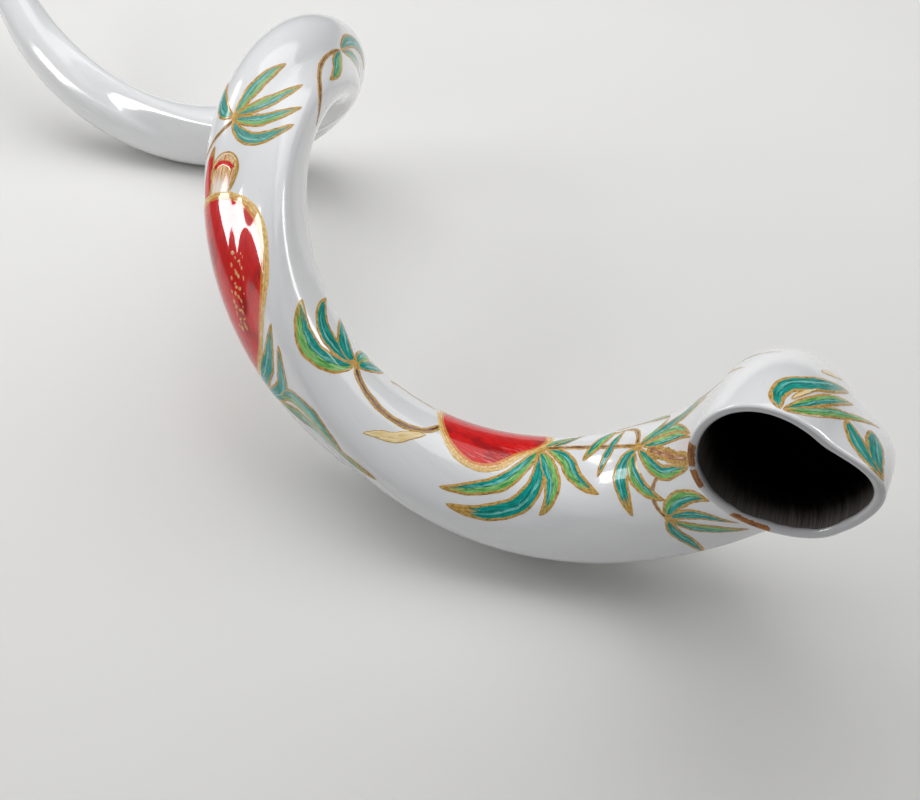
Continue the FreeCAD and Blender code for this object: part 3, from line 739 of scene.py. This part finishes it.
def edge_wave(share, seed, count):
    """Small wander of a brushed edge."""
    phase = share * 6.3 * count
    wave = np.sin(phase + seed * 1.7) + 0.6 * np.sin(phase * 2.3 + seed * 3.1)
    return (wave + 0.3 * np.sin(phase * 5.1 + seed * 0.9)) / 1.9


def add_patch(sheet, points, material, closed, run, reach, number, **named_values):
    """Add a grid of points and, over it, the named values that the paint materials read.

    run and reach are mm along and across the brush's way, and number sets one patch's streaks apart.
    """
    grid = points.shape[:2]
    brush = np.stack(np.broadcast_arrays(run, reach, number), axis=-1)
    values = {key: np.broadcast_to(value, grid).ravel() for key, value in named_values.items()}
    values["brush"] = np.broadcast_to(brush, grid + (3,)).reshape(-1, 3)
    sheet.add(points.reshape(-1, 3), grid_faces(*grid, closed=closed), values, material)


def add_stroke(sheet, places, width, seed, profile=leaf_profile, belly=0.42, rim=None, tone=0.0,
               wander=0.07, flip=False, gold_tip=1.0, material=0, rows=48, columns=15, height=0.0, pale=0.0):
    """A brush stroke along places, width mm across at its widest, with a gold rim of rim mm.

    belly is where a leaf is widest, or the share of a stem's width at its far end. height lifts the
    stroke over its neighbours, and material is its place in the sheet's list of materials.
    """
    share = np.linspace(0.0, 1.0, rows)
    line = smooth_line(places, share)
    ahead = smooth_line(places, np.minimum(share + 0.01, 1.0))
    behind = smooth_line(places, np.maximum(share - 0.01, 0.0))
    length = line[:, 0]
    turn = np.radians(line[:, 1])
    heading = ahead - behind
    side_length, side_turn = sideways(length, turn, heading[:, 0], np.radians(heading[:, 1]))
    half = 0.5 * width * profile(share, belly)
    left = half * (1.0 + wander * edge_wave(share, seed, 3.0)) + 0.02
    right = half * (1.0 + wander * edge_wave(share, seed + 2.6, 3.4)) + 0.02
    across = np.sin(np.linspace(-0.5 * math.pi, 0.5 * math.pi, columns))[None, :]
    reach = np.where(across < 0.0, across * left[:, None], across * right[:, None])
    here = np.maximum(length[:, None] + side_length[:, None] * reach, LIP_CLEAR)
    around = turn[:, None] + side_turn[:, None] * reach
    steps = np.linalg.norm(np.diff(skin_point(here, around)[:, columns // 2], axis=0), axis=1)
    run = np.concatenate([[0.0], np.cumsum(steps)])
    from_end = np.minimum(run, run[-1] - run)[:, None]
    edge = np.where(across < 0.0, left[:, None], right[:, None]) - np.abs(reach)
    edge = np.minimum(edge, from_end * 0.7 + 0.02)
    points = skin_point(here, around, FLOAT + height + RELIEF * ramp(edge, 0.0, 0.8))
    add_patch(sheet, points, material, False, run[:, None], reach, seed * 13.7, edge=edge,
              across=-across if flip else across, along=share[:, None], tone=tone,
              rim=min(1.6, 0.20 * width) if rim is None else rim, gold_tip=gold_tip, pale=pale)


def add_disc(sheet, middle, radius_of, seed):
    """A round patch. radius_of(angle) is its outline in mm, angle 0 towards the mouth end."""
    angle = np.linspace(0.0, 2.0 * math.pi, DISC_SECTORS, endpoint=False)[None, :]
    share = np.sin(np.linspace(0.0, 0.5 * math.pi, DISC_RINGS))[:, None]
    outline = radius_of(angle) * (1.0 + 0.006 * edge_wave(angle / 6.283, seed, 4.0))
    along = share * outline * np.cos(angle)
    side = share * outline * np.sin(angle)
    length = middle[0] + along
    turn = math.radians(middle[1]) + side / mean_radius(length)
    edge = (1.0 - share) * outline
    pale_width = 0.30 * outline.max()
    pale_side = ramp(np.cos(angle - 4.1), 0.1, 0.9)
    add_patch(sheet, skin_point(length, turn, FLOAT + RELIEF * ramp(edge, 0.0, 0.8)), 0, True, along, side,
              seed * 9.1, edge=edge, across=side / 40.0, along=0.5 + along / 120.0, tone=0.0, rim=0.0,
              gold_tip=0.0, pale=np.clip((pale_width - edge) / pale_width, 0.0, 1.0) * pale_side)


def add_ring(sheet, middle, radius_of, inner, outer, seed):
    """A line that follows a disc's outline, from inner to outer mm beyond it."""
    angle = np.linspace(0.0, 2.0 * math.pi, RING_SECTORS)[:, None]
    across = np.sin(np.linspace(-0.5 * math.pi, 0.5 * math.pi, RING_COLUMNS))[None, :]
    half = 0.5 * (outer - inner) * (1.0 + 0.16 * edge_wave(angle / 6.283, seed, 5.0))
    reach = radius_of(angle) + 0.5 * (outer + inner) + across * half
    length = middle[0] + reach * np.cos(angle)
    turn = math.radians(middle[1]) + reach * np.sin(angle) / mean_radius(length)
    edge = half * (1.0 - np.abs(across))
    add_patch(sheet, skin_point(length, turn, FLOAT + RING_LIFT + RELIEF * ramp(edge, 0.0, 0.6)), 0, False,
              angle * 40.0, across * half, seed * 5.3, edge=edge, across=across, along=0.5, tone=0.0,
              rim=ALL_GOLD, gold_tip=0.0, pale=0.0)


# --- the motifs ---
# Each leaf is a line of (mm from the lip, degrees from the keel), a full width in mm, and a tone: up to
# 0.25 teal, from 0.3 to 0.7 teal with a green half, and above that nearly all green.
LEAVES = {
    "bell_top_leaves": [
        ([(1, -83), (6, -89), (13, -87), (19, -76), (27, -63), (39, -49)], 10.0, 0.0),
        ([(1, -82), (8, -71), (18, -58), (32, -40)], 6.4, 0.5),
        ([(1, -81), (6, -65), (16, -46), (25, -30), (33, -18)], 5.6, 0.9),
        ([(17, -38), (11, -30), (6, -21), (3, -12), (2, -4)], 9.0, 0.0),
        ([(23, -21), (15, -17), (8, -13), (2, -5)], 10.4, 0.2)],
    "bell_side_blades": [
        ([(160, 153), (146, 166), (134, 181), (120, 192), (92, 204), (63, 206), (36, 222), (28, 236)],
         6.4, 0.2),
        ([(110, 197), (78, 210), (54, 217), (46, 231), (41, 255)], 1.8, 1.0)],
    "near_bell_leaves": [
        ([(190, 134), (178, 143), (160, 155), (140, 167), (120, 180)], 7.4, 0.0),
        ([(166, 167), (188, 172), (205, 173), (217, 164)], 5.2, 0.9),
        ([(187, 141), (177, 148), (170, 157), (165, 165)], 3.4, 0.9),
        ([(190, 135), (165, 148), (147, 149), (132, 143)], 6.0, 0.9),
        ([(186, 133), (162, 139), (146, 142), (132, 140)], 6.0, 0.4),
        ([(190, 132), (182, 118), (172, 106), (158, 108), (144, 112)], 8.8, 0.3),
        ([(191, 131), (202, 116), (206, 97), (205, 80), (203, 61)], 10.0, 0.0),
        ([(193, 127), (196, 108), (192, 94), (176, 78)], 8.4, 0.5),
        ([(215, 160), (224, 143), (230, 128), (236, 113)], 8.2, 0.6),
        ([(208, 158), (213, 138), (219, 116), (224, 96)], 5.8, 0.0)],
    "keel_side_leaves": [
        ([(181, 61), (172, 74), (162, 80), (152, 81), (143, 75)], 10.0, 0.5),
        ([(180, 60), (168, 63), (158, 61), (144, 42)], 6.6, 0.0),
        ([(180, 58), (169, 47), (160, 40), (147, 28)], 7.6, 0.3),
        ([(181, 59), (183, 43), (181, 30), (184, 7)], 8.0, 0.0)],
    "hanging_leaves": [
        ([(271, 117), (280, 84), (290, 63), (303, 49), (327, 30)], 10.2, 0.45),
        ([(270, 112), (267, 78), (275, 53), (290, 36), (320, 21)], 11.6, 0.0),
        ([(269, 116), (261, 98), (256, 82), (257, 64), (264, 46)], 9.8, 0.6),
        ([(265, 120), (248, 110), (242, 96), (235, 87), (223, 79)], 9.4, 0.4),
        ([(268, 121), (260, 136), (247, 151)], 4.6, 0.5),
        ([(261, 127), (250, 142), (241, 160)], 3.8, 0.0)],
    "inner_leaves": [
        ([(414, 50), (424, 28), (438, 16), (450, 15), (466, 22)], 13.4, 0.3),
        ([(415, 52), (432, 40), (446, 37), (455, 42), (463, 58)], 10.4, 0.0),
        ([(415, 54), (427, 53), (435, 60), (447, 78)], 10.6, 0.0),
        ([(414, 54), (415, 74), (416, 98)], 9.6, 0.6),
        ([(412, 53), (407, 74), (399, 108)], 10.4, 0.0)],
    "trailing_leaves": [
        ([(440, -92), (444, -54), (452, -26), (461, -12)], 12.0, 0.0),
        ([(440, -88), (431, -66), (431, -42), (439, -22), (449, -12)], 12.0, 0.0),
        ([(428, -58), (421, -28), (410, -16), (398, -12), (384, -9)], 14.0, 0.3),
        ([(427, -70), (416, -50), (405, -34), (392, -20), (377, -9), (360, -1)], 10.0, 0.7)],
    "upper_leaves": [
        ([(580, -76), (579, -48), (584, -24), (594, -8)], 9.4, 0.6),
        ([(579, -75), (569, -53), (568, -30), (579, -6)], 10.0, 0.0),
        ([(581, -78), (584, -92), (592, -106), (607, -118)], 9.8, 0.0),
        ([(581, -76), (587, -56), (597, -36), (613, -21)], 8.4, 0.7),
        ([(581, -77), (592, -72), (606, -66), (623, -56)], 8.8, 0.3)],
    "back_leaves": [
        ([(484, 179), (500, 163), (516, 158), (533, 166)], 9.6, 0.4),
        ([(484, 181), (500, 194), (514, 198), (531, 190)], 9.8, 0.0),
        ([(483, 183), (472, 202), (460, 212), (443, 212)], 8.8, 0.6),
        ([(483, 177), (470, 162), (456, 158), (441, 164)], 8.4, 0.0),
        ([(675, -43), (690, -62), (708, -70), (731, -62)], 9.8, 0.0),
        ([(675, -41), (696, -38), (712, -30), (729, -14)], 9.2, 0.5),
        ([(673, -40), (658, -24), (648, -14), (631, -8)], 8.8, 0.3)]}

# Each stem is a line, its width in mm, and the share of that width left at its far end.
STEMS = {
    "near_bell_twigs": [
        ([(266, 122), (250, 129), (235, 132), (208, 134), (191, 134)], 3.4, 0.8),
        ([(192, 135), (192, 146), (198, 157), (207, 160), (216, 154)], 3.6, 0.5),
        ([(182, 130), (167, 125), (155, 121), (139, 120)], 7.8, 0.9)],
    "keel_side_twig": [
        ([(172, 103), (179, 97), (184, 82), (184, 70), (181, 61)], 2.4, 1.0)],
    "middle_branch": [
        ([(413, 52), (400, 46), (386, 46), (371, 50), (357, 59), (348, 70), (343, 88)], 4.4, 0.9),
        ([(390, 95), (384, 108), (370, 115), (352, 118)], 2.6, 0.4)],
    "upper_twig": [
        ([(579, -75), (574, -86), (570, -96), (562, -112)], 3.0, 0.8)],
    "back_branches": [
        ([(556, 150), (530, 170), (506, 178), (484, 180)], 3.4, 0.8),
        ([(592, 20), (620, -10), (648, -32), (674, -42)], 3.4, 0.8)]}

SMALL_FRUIT = (312, 124)
LARGE_FRUIT = (493, -88)


def small_outline(angle):
    """Round, drawn out to a point where the leaves hang from it."""
    off = (angle - math.radians(168.0) + math.pi) % (2.0 * math.pi) - math.pi
    return 33.0 + 3.5 * np.cos(angle) + 18.0 * np.exp(-(off / math.radians(24.0)) ** 2)


def large_outline(angle):
    crown_side = 3.0 * np.exp(-((angle - math.pi) / 0.35) ** 2)
    return 43.2 + 1.8 * np.cos(2.0 * angle) + crown_side + 3.0 * np.exp(-((angle - 0.78) / 0.45) ** 2)


def keep(piece, slot, *nodes):
    """The piece stands for these CAD nodes and moves with the part's one body."""
    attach(piece, "root")
    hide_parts(*nodes)


all_nodes = list(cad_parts)
keep(horn, "horn", *[name for name in all_nodes if name.startswith("horn_")])
keep(enamel, "white_enamel", *[name for name in all_nodes if name.startswith("ground_coat_")])

# How much of each leaf's tip the gold covers and how faded the leaf is, where it isn't the usual.
USUAL_GOLD_TIP = 0.15
GOLD_TIPS = {
    "near_bell_leaves": (0.0, 0.0, 0.0, 0.0, 0.0, 0.3, 0.9, 0.4, 0.4, 0.4),
    "hanging_leaves": (0.35, 1.0, 0.7, 0.9, 0.0, 0.0),
    "inner_leaves": (0.35, 0.0, 0.0, 0.0, 0.0)}
FADED = {
    "trailing_leaves": (0.0, 0.0, 0.12, 0.25),
    "bell_side_blades": (0.2, 0.2),
    "upper_leaves": (0.22, 0.22, 0.1, 0.22, 0.22)}
# The drop of gold where the leaves of a spray meet: two ends of a short stroke and its width.
KNOTS = {
    "near_bell_leaves": ([(194, 133), (186, 133)], 4.6),
    "inner_leaves": ([(417, 55), (410, 51)], 4.4),
    "upper_leaves": ([(583, -76), (577, -75)], 4.4),
    "hanging_leaves": ([(265, 125), (272, 112)], 5.0),
    "keel_side_leaves": ([(183, 61), (178, 59)], 3.6)}
KNOT_WAVE = 92
# mm: a stem wider than this is tan, not brown.
BROAD_STEM = 7.0

seed = 0
for name, leaves in LEAVES.items():
    sheet = Sheet()
    gold_tips = GOLD_TIPS.get(name, [USUAL_GOLD_TIP] * len(leaves))
    faded = FADED.get(name, [0.0] * len(leaves))
    for order, (places, width, tone) in enumerate(leaves):
        seed += 1
        add_stroke(sheet, places, width, seed, belly=0.40 + 0.03 * (seed % 3), tone=tone,
                   flip=seed % 2 == 0, height=0.012 * (order % 3), gold_tip=gold_tips[order],
                   pale=faded[order])
    if name in KNOTS:
        places, width = KNOTS[name]
        add_stroke(sheet, places, width, KNOT_WAVE, belly=0.5, rim=ALL_GOLD, rows=16, columns=9, height=0.04)
    sheet.finish(name, "leaf_paint", LEAF)

for name, stems in STEMS.items():
    sheet = Sheet()
    for places, width, narrowing in stems:
        seed += 1
        add_stroke(sheet, places, width, seed, profile=stem_profile, belly=narrowing, rim=0.30 * width,
                   wander=0.16, gold_tip=0.0, columns=11, rows=64, tone=1.0 if width > BROAD_STEM else 0.0)
    sheet.finish(name, "brown_paint", STEM)

sheet = Sheet()
add_disc(sheet, SMALL_FRUIT, small_outline, 3)
sheet.finish("small_pomegranate", "red_paint", THIN_RED)

# The seeds lie in rows across the large fruit: their number, where the field starts, mm and degrees
# from there to its far side, degrees between rows, and how far a seed strays from its row.
SEEDS = 34
SEEDS_START = (504.0, -43.0)
SEEDS_RUN = (-39.0, -20.0)
SEED_ROW = 4.6
SEED_STRAY = 2.6
sheet = Sheet()
add_disc(sheet, LARGE_FRUIT, large_outline, 5)
random = np.random.RandomState(7)
for index in range(SEEDS):
    back = min(1.0, index / (SEEDS - 1.0) + random.uniform(0.0, 0.02))
    row = ((index * 3) % 5 - 2) * SEED_ROW
    across = (row + random.uniform(-SEED_STRAY, SEED_STRAY)) * (1.1 - 0.35 * back)
    start = (SEEDS_START[0] + SEEDS_RUN[0] * back, SEEDS_START[1] + SEEDS_RUN[1] * back + across)
    finish = (start[0] + random.uniform(2.2, 4.6), start[1] + random.uniform(-1.2, 1.2))
    add_stroke(sheet, [start, finish], random.uniform(1.9, 3.6), 100 + index, belly=0.5, rim=0.0,
               gold_tip=0.0, material=1, rows=8, columns=5, height=0.05)
sheet.finish("large_pomegranate", "red_paint", RED, SEED)
sheet = Sheet()
add_ring(sheet, SMALL_FRUIT, small_outline, -3.6, 2.4, 4)
sheet.finish("gold_small_fruit_rim", "gold_paint", RIM)
sheet = Sheet()
add_ring(sheet, LARGE_FRUIT, large_outline, -2.6, 2.4, 6)
sheet.finish("gold_large_fruit_rim", "gold_paint", RIM)

sheet = Sheet()
add_stroke(sheet, [(381, 19), (372, 30), (364, 38), (357, 50), (348, 63)], 6.6, 61, belly=0.52, rim=0.5,
           gold_tip=0.0)
sheet.finish("gold_bud", "gold_paint", BUD)
sheet = Sheet()
add_stroke(sheet, [(33, -74), (38, -68), (43, -59)], 4.0, 62, belly=0.4, rim=0.5)
add_stroke(sheet, [(7, -80), (12, -76), (21, -66)], 2.8, 65, belly=0.4, rim=0.6, gold_tip=0.0)
sheet.finish("gold_bell_tick", "gold_paint", BUD)


def cup_profile(share, belly):
    """Nearly straight sides that round off at the open end."""
    return (0.84 + 0.24 * share) * np.clip((1.0 - share) / 0.24, 0.001, 1.0) ** 0.5


def draw_crown():
    """The crown of the large pomegranate: a cup, the sepal beside it, and three lines on the cup."""
    sheet = Sheet()
    cup = [(535, -74), (543, -71), (550, -69), (559, -68)]
    sepal = [(537, -96), (546, -96), (553, -95), (559, -95), (566, -92)]
    band = [(552, -85), (555, -76), (554, -66), (550, -56)]
    lip = [(546, -88), (554, -88), (559, -80), (560, -69), (557, -57), (551, -51), (544, -53), (538, -60)]
    side = [(538, -89), (546, -86), (553, -86)]
    line = {"profile": stem_profile, "belly": 1.0, "gold_tip": 0.0}
    add_stroke(sheet, cup, 15.0, 66, profile=cup_profile, rim=0.5, gold_tip=0.0, material=1)
    add_stroke(sheet, sepal, 10.0, 63, belly=0.4, rim=1.1, gold_tip=0.7, height=0.02)
    add_stroke(sheet, band, 4.4, 64, rim=0.9, height=0.04, **line)
    add_stroke(sheet, lip, 2.0, 67, rim=0.0, material=2, height=0.05, rows=80, **line)
    add_stroke(sheet, side, 1.6, 68, rim=0.0, material=2, height=0.05, **line)
    sheet.finish("pomegranate_crown", "red_paint", RED, CUP, GOLD_LINE)


def add_lip_band(sheet, start, end, number):
    """Gold-brown rubbed through the white on the lip, from the bore over to the outside."""
    rows = 40
    rings = [(length, share) for length, share, drop, lip in LIP_PROFILE[3:]] + [(1.7, 1.0), (2.8, 1.0)]
    columns = len(rings)
    turn = np.radians(np.linspace(start, end, rows))
    share = np.linspace(0.0, 1.0, rows)
    reach = np.sin(math.pi * share) ** 0.5 * (1.0 + 0.16 * edge_wave(share, number, 3.0))
    points = []
    for length, part in rings:
        inner = bore_radius(length, turn)
        outer = outer_radius(length, turn) + COAT
        tilt = math.pi * (part - 0.5)
        radius = inner + (outer - inner) * part + 0.08 * math.sin(tilt)
        points.append(place_points(length - 0.08 * math.cos(tilt), turn, radius))
    grid = np.stack(points, axis=1)
    # Towards the band's two ends its outer columns are drawn in to the middle of the lip.
    middle = columns // 2
    cut = np.rint(np.clip(reach, 0.0, 1.0) * middle).astype(int)[:, None]
    index = np.clip(np.arange(columns)[None, :], middle - cut, np.minimum(middle + cut + 1, columns - 1))
    grid = np.take_along_axis(grid, index[:, :, None], axis=1)
    across = np.linspace(-1.0, 1.0, columns)[None, :]
    run = (share * abs(end - start) * 0.6)[:, None]
    edge = np.minimum(5.0 * (1.0 - np.abs(across)), np.minimum(run, run.max() - run))
    add_patch(sheet, grid, 0, False, run, across * 2.5, number * 3.0, edge=edge, across=across, along=0.5,
              tone=0.0, rim=0.0, gold_tip=0.0, pale=0.0)


draw_crown()
sheet = Sheet()
for number, (start, end) in enumerate(((-184, -158), (156, 178), (92, 130))):
    add_lip_band(sheet, start, end, number + 1.0)
sheet.finish("gold_lip_strokes", "gold_paint", AMBER)

# --- camera, light and floor ---
CAMERA_PLACE = (-0.16358, -0.60669, 0.55820)
CAMERA_TURN = 24.598
CAMERA_DROP = 48.061
CAMERA_LENS = 43.66


def placing(across, upward, away, place):
    """Matrix of an object whose X, Y and Z point across, upward and away."""
    rows = [[across[k], upward[k], away[k], place[k]] for k in range(3)]
    return Matrix(rows + [[0.0, 0.0, 0.0, 1.0]])


turn = math.radians(CAMERA_TURN)
drop = math.radians(CAMERA_DROP)
forward = np.array([math.sin(turn) * math.cos(drop), math.cos(turn) * math.cos(drop), -math.sin(drop)])
right = np.array([math.cos(turn), -math.sin(turn), 0.0])
up = np.cross(right, forward)
lens = bpy.data.cameras.new("photo_camera")
lens.lens = CAMERA_LENS
lens.sensor_width = 36.0
lens.clip_start = 0.01
camera = bpy.data.objects.new("photo_camera", lens)
bpy.context.scene.collection.objects.link(camera)
camera.matrix_world = placing(right, up, -forward, CAMERA_PLACE)
bpy.context.scene.camera = camera


def soft_box(name, place, aim, width, depth, power):
    """A rectangular light, width by depth metres, of so many watts."""
    lamp = bpy.data.lights.new(name, "AREA")
    lamp.shape = "RECTANGLE"
    lamp.size = width
    lamp.size_y = depth
    lamp.energy = power
    obj = bpy.data.objects.new(name, lamp)
    bpy.context.scene.collection.objects.link(obj)
    away = unit(np.array(place) - np.array(aim))
    level = np.array([0.0, 0.0, 1.0]) if abs(away[2]) < 0.99 else np.array([0.0, 1.0, 0.0])
    across = unit(np.cross(level, away))
    upward = np.cross(away, across)
    obj.matrix_world = placing(across, upward, away, place)
    return obj


# The large boxes light the scene; the narrow cards are only there to be seen in the gloss.
shade_only = [
    soft_box("top_box", (0.0, 0.40, 1.70), (0.0, 0.40, 0.0), 1.2, 1.2, 8.4),
    soft_box("left_top_box", (-0.70, 0.95, 1.45), (-0.70, 0.95, 0.0), 1.4, 1.6, 6.8),
    soft_box("right_box", (1.50, -0.10, 0.90), (0.0, -0.10, 0.10), 1.0, 1.0, 2.0),
    soft_box("left_box", (-1.30, 0.42, 1.05), (-0.05, -0.05, 0.12), 0.50, 0.60, 4.2),
    soft_box("back_box", (-0.70, 1.00, 0.95), (0.05, -0.28, 0.08), 1.00, 0.80, 2.8),
    soft_box("front_box", (-1.10, -1.10, 0.90), (-0.05, -0.10, 0.12), 0.90, 0.70, 1.5)]
for lamp in shade_only:
    lamp.visible_glossy = False
soft_box("right_top_box", (0.85, 0.35, 1.45), (0.85, 0.35, 0.0), 1.5, 1.6, 12.0)
gloss_only = [
    soft_box("left_card", (-0.573, 0.122, 0.480), (-0.065, -0.09, 0.145), 0.180, 0.282, 2.0),
    soft_box("back_card", (-0.62, 1.05, 0.95), (0.06, -0.29, 0.08), 0.50, 0.22, 3.0),
    soft_box("right_card", (1.44, -0.38, 0.95), (-0.04, -0.10, 0.13), 0.11, 0.72, 2.2)]
for lamp in gloss_only:
    lamp.visible_diffuse = False
    lamp.visible_camera = False

AIR_COLOUR = (0.82, 0.82, 0.83, 1.0)
AIR_STRENGTH = 0.17
world = bpy.data.worlds.new("studio_air")
world.use_nodes = True
world.node_tree.nodes["Background"].inputs["Color"].default_value = AIR_COLOUR
world.node_tree.nodes["Background"].inputs["Strength"].default_value = AIR_STRENGTH
bpy.context.scene.world = world
bpy.context.scene.view_settings.view_transform = "Standard"


def build_floor():
    """A pale matt sheet, 4 m each way from the middle."""
    reach = 4.0
    count = 9
    lines = np.linspace(-reach, reach, count) / MM
    along, side = np.meshgrid(lines, lines, indexing="ij")
    points = np.stack([along, side, np.zeros_like(along)], axis=-1).reshape(-1, 3)
    kit = Nodes("pale_floor")
    place = kit.tree.nodes.new("ShaderNodeTexCoord").outputs["Object"]
    tooth = kit.grain(place, 900.0, 900.0)
    cloud = kit.grain(place, 3.0, 3.0, 2.0)
    colour = kit.mix(cloud, (226, 225, 223), (232, 232, 230))
    kit.bump(tooth, 0.00006)
    material = kit.finish(colour, 0.62, IOR=1.45, Specular_IOR_Level=0.25)
    return build_object("floor", points, grid_faces(count, count, flip=True), {}, [material])


build_floor()
